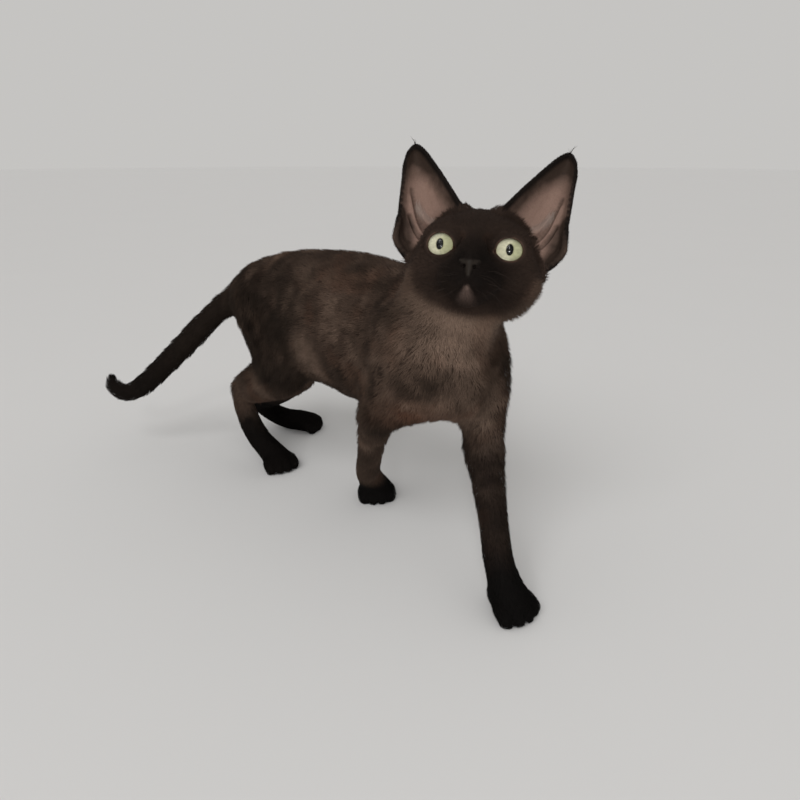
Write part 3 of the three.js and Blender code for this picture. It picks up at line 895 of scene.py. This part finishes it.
def paint_face(colour, q, on_head, under_jaw, blotch):
    """A dark mask, darkest on the muzzle, with a lighter chin and a painted highlight on the lip."""
    x, y, z = q.T
    muzzle = near_spot(q, (12, 0, -17), 8, 34, (1, 1.35, 0.8))
    crown = near_spot(q, (4, 0, 14), 12, 34, (1.4, 1.2, 1))
    face = on_head * (1 - under_jaw)
    chin_width = np.abs(y) / np.maximum(1.6 - 0.5 * (z + 21), 0.5)
    chin = smooth(1.35, 0.2, chin_width) * smooth(-20.4, -21.4, z) * smooth(-31, -22, z) * smooth(1, 5, x)
    for other, share in (
        (FACE, face),
        (BLACK, face * (0.64 * muzzle + 0.2 * crown + 0.2 * blotch)),
        (RUST, on_head * 0.4 * near_spot(mirrored(q), (8, 8.5, 2.5), 2, 6)),
        (CHIN, on_head * chin),
        # a painted highlight on the wet lower lip
        (LIP_HIGHLIGHT, on_head * near_spot(q, (14.2, 0, -21.4), 0.3, 1.5, (1.5, 1.3, 0.8))),
    ):
        paint(colour, other, share)


def ear_tone(c, q):
    """The inside of the ears: bare skin with a random mottle, and painted shade in its folds and pocket, at
    the tip and towards the black rim.
    """
    cloud = 0.5 * noise(c, 5, 4) + 0.4 * noise(c, 2.2, 6)
    inner_edge, outer_edge = ear_edges(q)
    tip = line_distance(q, [EAR_TIP])
    # painted shade towards the inner and outer edges and the tip, with a random mottle
    painted_shade_and_mottle = 0.85 * smooth(14, 4, inner_edge) + 0.5 * smooth(7, 2, outer_edge)
    painted_shade_and_mottle = painted_shade_and_mottle + 0.6 * smooth(25, 5, tip) + 0.12 * cloud
    # painted shade in the mouth of the pocket
    painted_shade_and_mottle = painted_shade_and_mottle + 0.8 * smooth(9, 3, line_distance(q, on_sheet(POCKET, 1)))
    # painted shade along the first two creases
    for path, _, off in EAR_CREASES[:2]:
        painted_shade_and_mottle = painted_shade_and_mottle + 0.5 * smooth(2.6, 0.4, line_distance(q, on_sheet(path, off - 1.6)))
    rim = np.maximum(smooth(4.4, 1.6, inner_edge), smooth(2.6, 1.0, outer_edge))
    fuzz = smooth(2.6, 0.6, line_distance(q, on_sheet(*FUZZ)))
    colour = mix(INNER_EAR, DARK * 1.25, np.clip(painted_shade_and_mottle, 0, 0.92)[:, None])
    colour = mix(colour, BLACK, (0.92 * rim)[:, None])
    return mix(colour, FUZZ_TONE, (0.5 * fuzz)[:, None])


def marking(p):
    """The coat's colour at points on the skin."""
    c, q = p - SHIFT, to_head(p)
    colour = np.tile(SEAL, (len(p), 1))
    on_head, inside = head_share(p), inner_ear(p)
    jaw_line = np.hypot(q[:, 1] / 28, (q[:, 2] + 8) / 23.5)
    under_jaw = smooth(-8, -15, q[:, 2]) * smooth(0.9, 1.08, jaw_line) * on_head
    blotch = paint_body(colour, c, under_jaw, on_head)
    paint_face(colour, q, on_head, under_jaw, blotch)
    paint(colour, BLACK, ear_share(p) * (1 - inside) * 0.9)
    return mix(colour, ear_tone(c, q), (inside * 0.96)[:, None])


def set_tint(mesh, colours, gloss=0.0):
    """Stores a linear colour at each vertex, with how wet it shines as its alpha."""
    layer = mesh.color_attributes.new("tint", "FLOAT_COLOR", "POINT")
    rows = np.empty((len(colours), 4), np.float32)
    rows[:, :3] = colours
    rows[:, 3] = gloss
    layer.data.foreach_set("color", rows.ravel())


# Tufts: slim leaves with a root, a ring of three and a tip
MOST_TUFTS = 248000
TUFTS_A_PIECE = 32000
TUFT_FACES = np.array([[0, 1, 3], [0, 3, 2], [0, 2, 1], [4, 3, 1], [4, 2, 3], [4, 1, 2]])
PATCH = 0.003  # a tuft's width in its piece's map
TUFT_MAP = np.array([
    [[0.5, 0], [0, 1.2], [1, 1.2]],
    [[1.5, 0], [1, 1.2], [2, 1.2]],
    [[2.5, 0], [2, 1.2], [3, 1.2]],
    [[0.5, 3], [1, 1.2], [0, 1.2]],
    [[1.5, 3], [2, 1.2], [1, 1.2]],
    [[2.5, 3], [3, 1.2], [2, 1.2]],
]) * (PATCH / 3)
# Painted shade at each tuft's dark root and a painted sheen at its pale tip
TUFT_ROOT_SHADE_TIP_SHEEN = np.array([0.8, 0.94, 0.94, 0.98, 1.08])  # dark root, pale tip
RING_AT, ROOT_DEPTH = 0.42, 0.3
SOFTNESS = 0.82  # how far the shading of a tuft follows the skin below it


def coat_roots(mesh):
    """Roots spread over the skin as thickly as the coat grows there."""
    mesh.calc_loop_triangles()
    tri, p = pull(mesh.loop_triangles, "vertices", np.int32), vertex_places(mesh)
    a, b, c = (p[tri[:, k]] for k in range(3))
    normal = np.cross(b - a, c - a)
    area = np.linalg.norm(normal, axis=1) / 2
    density = coat_traits((a + b + c) / 3, unit(normal))[2]
    share = np.cumsum(area * density)
    steps = (np.arange(MOST_TUFTS) + rng.random(MOST_TUFTS)) * share[-1] / MOST_TUFTS
    pick = np.minimum(np.searchsorted(share, steps), len(a) - 1)
    u, v = rng.random((2, MOST_TUFTS))
    over = u + v > 1
    u[over], v[over] = 1 - u[over], 1 - v[over]
    return a[pick] + (b - a)[pick] * u[:, None] + (c - a)[pick] * v[:, None]


def turned(v, normal, angle):
    return v * np.cos(angle)[:, None] + np.cross(normal, v) * np.sin(angle)[:, None]


def on_skin(points, height):
    """Settles points at their heights over the skin, and gives its normals there."""
    out, normal = points.copy(), np.zeros_like(points)
    on_head = head_share(points) > 0.5
    for use, field in ((on_head, head), (~on_head, body)):
        out[use] = settle(field, points[use], height[use], 2)
        normal[use] = field.slope(out[use])
    return out, unit(normal)


def grow(roots):
    """The five corners of a tuft for each root, with their normals and colours."""
    count = len(roots)
    roots, normal = on_skin(roots, np.zeros(count))
    length, width, _ = coat_traits(roots, normal)
    c = roots - SHIFT
    wave, lock = noise(c, 9, 5), noise(c, 3.2, 9)
    shaggy = smooth(3, 7, length)
    on_ear = ear_share(roots)
    swing = (0.2 - 0.12 * on_ear) * rng.normal(size=count) + shaggy * (0.45 * wave + 0.3 * lock)
    way = turned(lie(roots, normal), normal, swing)
    length = length * rng.uniform(0.7, 1.2, count)
    width = width * rng.uniform(0.75, 1.25, count)
    depth = mix(coat_depth(roots), 0.22 + 0.4 * inner_ear(roots), on_ear)
    ruff = cheek_ruff(to_head(roots))
    length, depth = length * (1 + 0.8 * ruff), depth * (1 + 1.6 * ruff)
    on_back = smooth(134, 146, c[:, 2]) * (1 - head_share(roots))
    ragged = np.maximum(on_back, smooth(-66, -84, c[:, 0]) * shaggy)
    stand = rng.uniform(0.6, 1.1, count) + shaggy * (0.22 * noise(c, 6, 8) + 0.14 * lock)
    stand += ragged * 1.3 * smooth(0.1, 0.8, noise(c, 4.5, 14))
    ring, up = on_skin(roots + way * (length * RING_AT)[:, None], depth * stand * 0.6)
    bend = turned(way, normal, 0.2 * rng.normal(size=count) - 0.4 * shaggy * wave)
    tip, tip_normal = on_skin(ring + bend * (length * (1 - RING_AT))[:, None], depth * stand)
    across = unit(np.cross(up, tip - roots))
    half = across * (width / 2)[:, None]
    ridge = unit(np.cross(tip - roots, across)) * (width * 0.36)[:, None]
    corners = np.stack([roots - normal * ROOT_DEPTH, ring - half, ring + half, ring + ridge, tip], 1)
    corners[..., 2] = np.maximum(corners[..., 2], 0.05)
    leans = np.stack([normal, up - across * 0.8, up + across * 0.8, up, tip_normal], 1)
    shade = rng.uniform(0.88, 1.14, count) * (1 + 0.24 * shaggy * lock + 0.16 * shaggy * wave)
    # each tuft's colour, with painted shade at its root and a painted sheen at its tip
    colours = marking(roots)[:, None, :] * shade[:, None, None] * TUFT_ROOT_SHADE_TIP_SHEEN[None, :, None]
    return corners, unit(leans), colours


def cheek_ruff(q):
    """1 on the lower cheeks, where the fur stands out."""
    return near_spot(mirrored(q), (-12, 24, -20), 5, 16, (1, 1, 1.2))


def evened(value):
    """The rank of each value, from 0 to 1."""
    rank = np.empty(len(value))
    rank[np.argsort(value, kind="stable")] = np.arange(len(value))
    return rank / len(value)


def patch_places(roots):
    """Each root's place on an unwrap round the piece's long axis, evened out to keep patches apart."""
    low, high = roots.min(0), roots.max(0)
    longest = int(np.argmax(high - low))
    across, up = [k for k in range(3) if k != longest]
    r = roots - (low + high) / 2
    rows = int(math.sqrt(len(roots)))
    row = np.floor(evened(r[:, longest]) * rows)
    bearing = np.arctan2(r[:, across], r[:, up])
    u = np.zeros(len(roots))
    for k in range(rows):
        u[row == k] = evened(bearing[row == k])
    return PATCH / 2 + np.stack([u, row / rows], 1) * (1 - 2 * PATCH)


def coat_piece(name, roots):
    corners, leans, colours = grow(roots)
    faces = (np.arange(len(roots))[:, None, None] * 5 + TUFT_FACES).reshape(-1, 3)
    piece = mesh_object(name, corners.reshape(-1, 3), faces)
    mesh = piece.data
    set_tint(mesh, colours.reshape(-1, 3))
    places = patch_places(roots)[:, None, None, :] + TUFT_MAP
    mesh.uv_layers.new(name="OFBake").uv.foreach_set("vector", places.astype(np.float32).ravel())
    bent = vertex_normals(mesh) * (1 - SOFTNESS) + leans.reshape(-1, 3) * SOFTNESS
    mesh.normals_split_custom_set_from_vertices(unit(bent))
    return piece


def part_of(p):
    """The name of the body part that each root is on."""
    c = p - SHIFT
    x, y, z = c.T
    name = np.full(len(p), "trunk", object)
    leg = z < 70
    name[leg & (x >= 85)] = "foreleg_left"
    name[leg & (x < 85) & (x > -10)] = "foreleg_right"
    name[leg & (x <= -10) & (y > -10)] = "hindleg_left"
    name[leg & (x <= -10) & (y <= -10)] = "hindleg_right"
    name[tail_share(c) > 0.5] = "tail"
    name[head_share(p) > 0.5] = "head"
    name[ear_share(p) > 0.5] = "ears"
    return name


def colour_skin(skin):
    p = vertex_places(skin.data)
    q = to_head(p)
    leather = nose_leather(q)
    lids = smooth(0.8, 0.25, lid_distance(q))
    colour = marking(p) * 0.9
    colour = mix(colour, LEATHER, leather[:, None])
    colour = mix(colour, LID_EDGE, lids[:, None])
    set_tint(skin.data, colour, np.maximum(leather, 0.8 * lids))


def add_coat(skin):
    material = tinted("coat", 0.8, 0.0016, 0.2)[0]
    roots = coat_roots(skin.data)
    part = part_of(roots)
    for name in sorted(set(part)):
        mine = roots[part == name]
        mine = mine[np.argsort(mine[:, 0], kind="stable")]
        pieces = math.ceil(len(mine) / TUFTS_A_PIECE)
        for k, share in enumerate(np.array_split(mine, pieces)):
            number = f"_{k + 1}" if pieces > 1 else ""
            dress(coat_piece(f"coat_{name}{number}", share), material)


# Materials


def principled(name, roughness=0.5):
    material = bpy.data.materials.new(name)
    material.use_nodes = True
    shader = material.node_tree.nodes["Principled BSDF"]
    shader.inputs["Roughness"].default_value = roughness
    return material, shader


def add_nodes(material, *kinds):
    return [material.node_tree.nodes.new(f"ShaderNode{kind}") for kind in kinds]


def wire(material, *joints):
    """For each joint, links an output of one node to an input of another."""
    for source, output, target, entry in joints:
        material.node_tree.links.new(source.outputs[output], target.inputs[entry])


def tinted(name, roughness, grain_size, grain):
    """A material that takes its colour from the mesh's tint, with a fine grain of a size in metres."""
    material, shader = principled(name, roughness)
    kinds = "Attribute", "TexCoord", "TexNoise", "MapRange", "VectorMath"
    tint, coords, specks, level, shaded = add_nodes(material, *kinds)
    tint.attribute_name, shaded.operation = "tint", "SCALE"
    specks.inputs["Scale"].default_value = 1 / grain_size
    level.inputs["To Min"].default_value, level.inputs["To Max"].default_value = 1 - grain, 1 + grain
    shader.inputs["Specular IOR Level"].default_value = 0.06
    wire(
        material,
        (coords, "Object", specks, "Vector"),
        (specks, "Fac", level, "Value"),
        (tint, "Color", shaded, "Vector"),
        (level, "Result", shaded, "Scale"),
        (shaded, "Vector", shader, "Base Color"),
    )
    return material, shader, tint, coords


def skin_material():
    """Short down on the skin, as fine bumps, and wet leather and lids where the tint's alpha says so."""
    material, shader, tint, coords = tinted("skin", 0.7, 0.0009, 0.2)
    grain, bump, wet = add_nodes(material, "TexNoise", "Bump", "MapRange")
    grain.inputs["Scale"].default_value, grain.inputs["Detail"].default_value = 1300, 4
    bump.inputs["Strength"].default_value, bump.inputs["Distance"].default_value = 0.3, 0.0003
    wet.inputs["To Min"].default_value, wet.inputs["To Max"].default_value = 0.72, 0.34
    wire(
        material,
        (coords, "Object", grain, "Vector"),
        (grain, "Fac", bump, "Height"),
        (bump, "Normal", shader, "Normal"),
        (tint, "Alpha", wet, "Value"),
        (wet, "Result", shader, "Roughness"),
    )
    return material


def cornea_material():
    """Clear and wet: what is behind it shows, and lights mirror in it."""
    material, shader = principled("cornea")
    material.node_tree.nodes.remove(shader)
    kinds = "BsdfTransparent", "BsdfGlossy", "MixShader", "Fresnel", "NewGeometry", "Math", "Math"
    clear, mirror, both, fresnel, face, outer, share = add_nodes(material, *kinds)
    mirror.inputs["Roughness"].default_value = 0.12
    fresnel.inputs["IOR"].default_value = 1.38
    outer.operation, share.operation = "SUBTRACT", "MULTIPLY"
    outer.inputs[0].default_value = 1
    wire(
        material,
        (face, "Backfacing", outer, 1),
        (outer, "Value", share, 0),
        (fresnel, "Fac", share, 1),
        (share, "Value", both, "Fac"),
        (clear, "BSDF", both, 1),
        (mirror, "BSDF", both, 2),
        (both, "Shader", material.node_tree.nodes["Material Output"], "Surface"),
    )
    return material


# Eyes
IRIS, PUPIL = 6.5, (1.8, 2.75)
IRIS_BASE, IRIS_FRONT = 4.6, 6.4
IRIS_COLOUR = tone(182, 179, 154)
IRIS_GREEN = tone(160, 160, 127)
IRIS_EDGE = tone(104, 98, 66)
EYE_SECTORS = 128
CORNEA_RISE, CORNEA_WALL = 0.9, 0.3


def turned_rings(name, rings, side):
    """A closed surface through rings of points on the eye's axes, with a point at each end."""
    centre, axes = eye_axes(side)
    points = [rings[0].mean(0, keepdims=True), *rings, rings[-1].mean(0, keepdims=True)]
    points = from_head(centre + np.concatenate(points) @ axes)
    n, faces = EYE_SECTORS, []
    for ring in range(len(rings) - 1):
        k = np.arange(n)
        low = 1 + ring * n
        faces.append(np.stack([low + k, low + (k + 1) % n, low + n + (k + 1) % n, low + n + k], 1))
    piece = mesh_object(name, points, np.concatenate(faces))
    bm = bmesh.new()
    bm.from_mesh(piece.data)
    bm.verts.ensure_lookup_table()
    last = len(points) - 1
    for k in range(n):
        bm.faces.new([bm.verts[0], bm.verts[1 + (k + 1) % n], bm.verts[1 + k]])
        bm.faces.new([bm.verts[last], bm.verts[last - n + k], bm.verts[last - n + (k + 1) % n]])
    bmesh.ops.recalc_face_normals(bm, faces=bm.faces[:])
    bm.to_mesh(piece.data)
    bm.free()
    piece.data.shade_smooth()
    return piece


def ring(out, half_across, half_up):
    turn_by = bearings(EYE_SECTORS)
    return np.stack([np.full(EYE_SECTORS, out), half_across * np.cos(turn_by), half_up * np.sin(turn_by)], 1)


def eyeball(name, side):
    """White, iris with its fibres and a painted shadow of the upper lid across its top, and a pupil that is a
    real hole.
    """
    back = np.linspace(math.pi * 0.97, math.asin(IRIS / EYE_RADIUS), 24)
    radius = EYE_RADIUS - 0.1
    rings = [ring(radius * math.cos(a), *[radius * math.sin(a)] * 2) for a in back]
    shares = np.linspace(0, 1, 30)
    for s in shares:
        out = mix(IRIS_BASE, IRIS_FRONT, math.sin(s * math.pi / 2))
        rings.append(ring(out, mix(IRIS, PUPIL[0], s), mix(IRIS, PUPIL[1], s)))
    rings.append(ring(IRIS_FRONT - 0.5, PUPIL[0] * 0.97, PUPIL[1] * 0.97))
    rings.append(ring(IRIS_FRONT - 2.2, *PUPIL))
    piece = turned_rings(name, rings, side)
    count = len(rings) * EYE_SECTORS
    colours = np.tile(BLACK * 0.3, (count + 2, 1))
    first = 1 + len(back) * EYE_SECTORS
    turn_by = bearings(EYE_SECTORS)
    colours[1:first] = tone(58, 40, 33)
    for k, s in enumerate(shares):
        spot = np.stack([np.cos(turn_by) * 9, np.sin(turn_by) * 9, np.full(EYE_SECTORS, s * 2.2)], 1)
        fibre = 0.6 * noise(spot, 0.5, 20 + side) + 0.5 * noise(spot, 1.4, 22 + side)
        hue = mix(IRIS_COLOUR, IRIS_GREEN, smooth(-0.4, 0.9, np.cos(turn_by) * side)[:, None])
        hue = mix(hue, IRIS_EDGE, 0.75 * smooth(0.16, 0.0, s))
        hue = mix(hue, IRIS_EDGE, 0.45 * smooth(0.86, 1.0, s))
        # painted shadow of the upper lid, darkening the top of the iris, most at its outer edge
        shaded = 1 - 0.3 * smooth(0.3, 1, np.sin(turn_by)) * smooth(0.8, 0.2, s)
        start = first + k * EYE_SECTORS
        colours[start : start + EYE_SECTORS] = hue * (shaded * (1 + 0.12 * fibre))[:, None]
    set_tint(piece.data, np.clip(colours, 0, 1), 1)
    return piece


def cornea(name, side):
    rings = []
    edge = IRIS + 0.25
    shares = np.linspace(0.02, 1, 16)
    for s, thin in [(s, 0) for s in shares] + [(s, CORNEA_WALL) for s in shares[::-1]]:
        r = s * edge
        out = math.sqrt(EYE_RADIUS**2 - r * r) + CORNEA_RISE * (1 - s * s) ** 2 - thin - 0.02
        rings.append(ring(out, r, r))
    return turned_rings(name, rings, side)


def add_eyes():
    iris, clear = tinted("iris", 0.4, 0.0004, 0.12)[0], cornea_material()
    for word, side in SIDES.items():
        ball_piece = eyeball(f"eyeball_{word}", side)
        dress(ball_piece, iris)
        dress(cornea(f"cornea_{word}", side), clear)
        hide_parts(f"eye_{word}")


# The lids' edges: a thin, smooth rim round each opening
LID_STEPS, RIM_SIDES, RIM = 160, 10, 0.42
RIM_FACE = (0, 0), (0, 1), (1, 1), (1, 0)  # a face's corners, round the rim and along it
RIM_EDGE, RIM_RISE = 0.15, 0.28  # the rim's middle, out from the opening and from the ball


def lid_rim(side):
    """The rim's middle line, and its ways out from the ball and across, in the head frame."""
    centre, axes = eye_axes(side)
    bearing = bearings(LID_STEPS)
    heading = np.stack([np.cos(bearing), np.sin(bearing)], 1)
    low, high = np.ones(LID_STEPS), np.full(LID_STEPS, 8.2)
    for _ in range(16):
        reach = (low + high) / 2
        b, c = (heading * reach[:, None]).T
        spot = centre + np.stack([np.sqrt(EYE_RADIUS**2 - b * b - c * c), b, c], 1) @ axes
        shows = opening(spot, side)[0] < RIM_EDGE
        low, high = np.where(shows, reach, low), np.where(shows, high, reach)
    out = unit(spot - centre)
    line = centre + out * (EYE_RADIUS + RIM_RISE)
    along = unit(np.roll(line, -1, 0) - np.roll(line, 1, 0))
    return line, out, np.cross(along, out)


def add_lids(material):
    for word, side in SIDES.items():
        line, out, across = lid_rim(side)
        a = bearings(RIM_SIDES)[:, None, None]
        points = from_head((line + RIM * (np.cos(a) * out + np.sin(a) * across)).reshape(-1, 3))
        ring_at, k = np.meshgrid(np.arange(RIM_SIDES), np.arange(LID_STEPS), indexing="ij")
        corners = [(ring_at + i) % RIM_SIDES * LID_STEPS + (k + j) % LID_STEPS for i, j in RIM_FACE]
        faces = np.stack([corner.ravel() for corner in corners], 1)
        piece = mesh_object(f"lid_{word}", points, faces)
        patchy = smooth(-0.8, 0.8, noise(points, 2.5, 31))[:, None]
        set_tint(piece.data, mix(LID_EDGE * 0.55, LID_EDGE * 1.15, patchy), 0.8)
        dress(piece, material)


# Whiskers: short, bent hairs on the lip pads and brows, and a few fine ones at the ear tips
WHISKER_SIDES, WHISKER_STEPS = 5, 9
BROW_ROW, EAR_TIP_HAIRS = -3, 7


def whisker_paths():
    """The middle line of each whisker, from root to tip, in the head frame."""
    paths = []
    t = np.linspace(0, 1, WHISKER_STEPS)[:, None]
    for side in SIDES.values():
        spots = []
        for row in range(3):
            for k in range(3):
                at = [12.5 - 1.6 * k, side * (4.6 + 1.9 * k), -16.2 - 1.9 * row]
                spots.append((at, 9 + 5 * rng.random(), row))
        for k in range(2):
            spots.append(([7.5, side * (12.5 + 2.4 * k), 9.6 + 0.4 * k], 6 + 3 * rng.random(), BROW_ROW))
        for at, length, row in spots:
            start = to_head(settle(head, from_head([at]), steps=14))[0]
            way = unit(np.array([0.45, side * 1.0, -0.22 * row - 0.1 + 0.3 * rng.normal()]))
            sweep = unit(np.array([-1.0, side * 0.3, -0.1 * row]))
            swing = unit(np.cross(way, sweep))
            curl = np.sin(t * (4 + 2 * rng.random())) * 0.3 * t
            paths.append(start - way * 0.4 + length * (way * t + sweep * 0.45 * t * t + swing * curl * 0.35))
        for k in range(EAR_TIP_HAIRS):
            start = ear_point(0.99 - 0.012 * k, -0.6 + 0.2 * k, 0, side)
            way = unit(np.array([0.1, side * (0.5 - 0.18 * k), 1.0]) + 0.15 * rng.normal(size=3))
            droop = np.array([-0.3, side * 0.3, 0])
            paths.append(start + (3.5 + 2.5 * rng.random()) * (way * t + droop * t * t))
    return paths


def add_whiskers():
    points, faces = [], []
    for path in whisker_paths():
        path = from_head(path)
        along = unit(np.gradient(path, axis=0))
        across = unit(np.cross(along, [0.3, 0.5, 0.8]))
        up = np.cross(along, across)
        first = sum(len(p) for p in points)
        for k, spot in enumerate(path[:-1]):
            radius = 0.09 * (1 - k / WHISKER_STEPS) + 0.02
            a = bearings(WHISKER_SIDES)[:, None]
            points.append(spot + radius * (np.cos(a) * across[k] + np.sin(a) * up[k]))
        points.append(path[-1:])
        n, tip = WHISKER_SIDES, first + (WHISKER_STEPS - 1) * WHISKER_SIDES
        for k in range(n):
            following = (k + 1) % n
            for step in range(WHISKER_STEPS - 2):
                low = first + step * n
                faces.append([low + k, low + following, low + n + following])
                faces.append([low + k, low + n + following, low + n + k])
            faces.append([tip - n + k, tip - n + following, tip])
        faces += [[first, first + k + 1, first + k] for k in range(1, n - 1)]
    piece = mesh_object("whiskers", np.concatenate(points), np.array(faces))
    set_tint(piece.data, np.tile(tone(36, 29, 25), (len(piece.data.vertices), 1)))
    dress(piece, tinted("whisker", 0.45, 0.0008, 0.2)[0])


colour_skin(skin)
skin_look = skin_material()
dress(skin, skin_look)
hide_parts(*FLESH)
add_coat(skin)
add_eyes()
add_lids(skin_look)
add_whiskers()

# Camera, as the photo was taken
LENS_PIXELS, PHOTO_PIXELS, SENSOR = 620, 800, 36
CAMERA_AT, CAMERA_WAY = place(308.6, -256.3, 228), Vector((-0.6669, 0.6441, -0.3746))


def add_camera():
    data = bpy.data.cameras.new("camera")
    data.sensor_width, data.lens = SENSOR, SENSOR * LENS_PIXELS / PHOTO_PIXELS
    data.clip_start, data.clip_end = 0.01, 50
    camera = show("camera", data)
    camera.location = CAMERA_AT * MM
    camera.rotation_euler = CAMERA_WAY.to_track_quat("-Z", "Y").to_euler()
    bpy.context.scene.camera = camera


# From the eyes to the two lamps that mirror in them, and the middle that these shine at
LAMP_WAY, WINDOW_WAY = np.array([0.640, -0.768, -0.02]), np.array([0.526, -0.648, 0.549])
LIT_MIDDLE = Vector((0, 0, 0.12))
KEY_FROM = Vector((0.30, -1.05, 1.2))


def add_lamp(name, kind, way, **values):
    data = bpy.data.lights.new(name, kind)
    for key, value in values.items():
        setattr(data, key, value)
    lamp = show(name, data)
    lamp.rotation_euler = way.to_track_quat("-Z", "Y").to_euler()
    return lamp


def add_disk(name, at, size, power):
    """A round soft light that shines at the kitten's middle."""
    lamp = add_lamp(name, "AREA", LIT_MIDDLE - Vector(at), shape="DISK", size=size, energy=power)
    lamp.location = Vector(at)


def add_floor():
    bm = bmesh.new()
    bmesh.ops.create_circle(bm, cap_ends=True, segments=96, radius=9)
    mesh = bpy.data.meshes.new("floor")
    bm.to_mesh(mesh)
    bm.free()
    material, shader = principled("floor", 0.9)
    coords, grain, level = add_nodes(material, "TexCoord", "TexNoise", "ValToRGB")
    grain.inputs["Scale"].default_value = 6
    level.color_ramp.elements[0].color = (0.664, 0.659, 0.654, 1)
    level.color_ramp.elements[1].color = (0.674, 0.669, 0.664, 1)
    wire(
        material,
        (coords, "Object", grain, "Vector"),
        (grain, "Fac", level, "Fac"),
        (level, "Color", shader, "Base Color"),
    )
    mesh.materials.append(material)
    show("floor", mesh)


add_camera()
add_floor()
world = bpy.data.worlds.new("studio")
bpy.context.scene.world = world
world.use_nodes = True
background = world.node_tree.nodes["Background"]
background.inputs["Color"].default_value = (1.0, 0.985, 0.96, 1)
background.inputs["Strength"].default_value = 0.56
add_lamp("key", "SUN", -KEY_FROM, angle=0.7, energy=1.0)
eyes_at = head_origin * MM
add_disk("front", eyes_at + LAMP_WAY * 1.35, 0.28, 7.0)
add_disk("window", eyes_at + WINDOW_WAY * 1.4, 0.2, 1.6)
bpy.context.scene.view_settings.view_transform = "Standard"
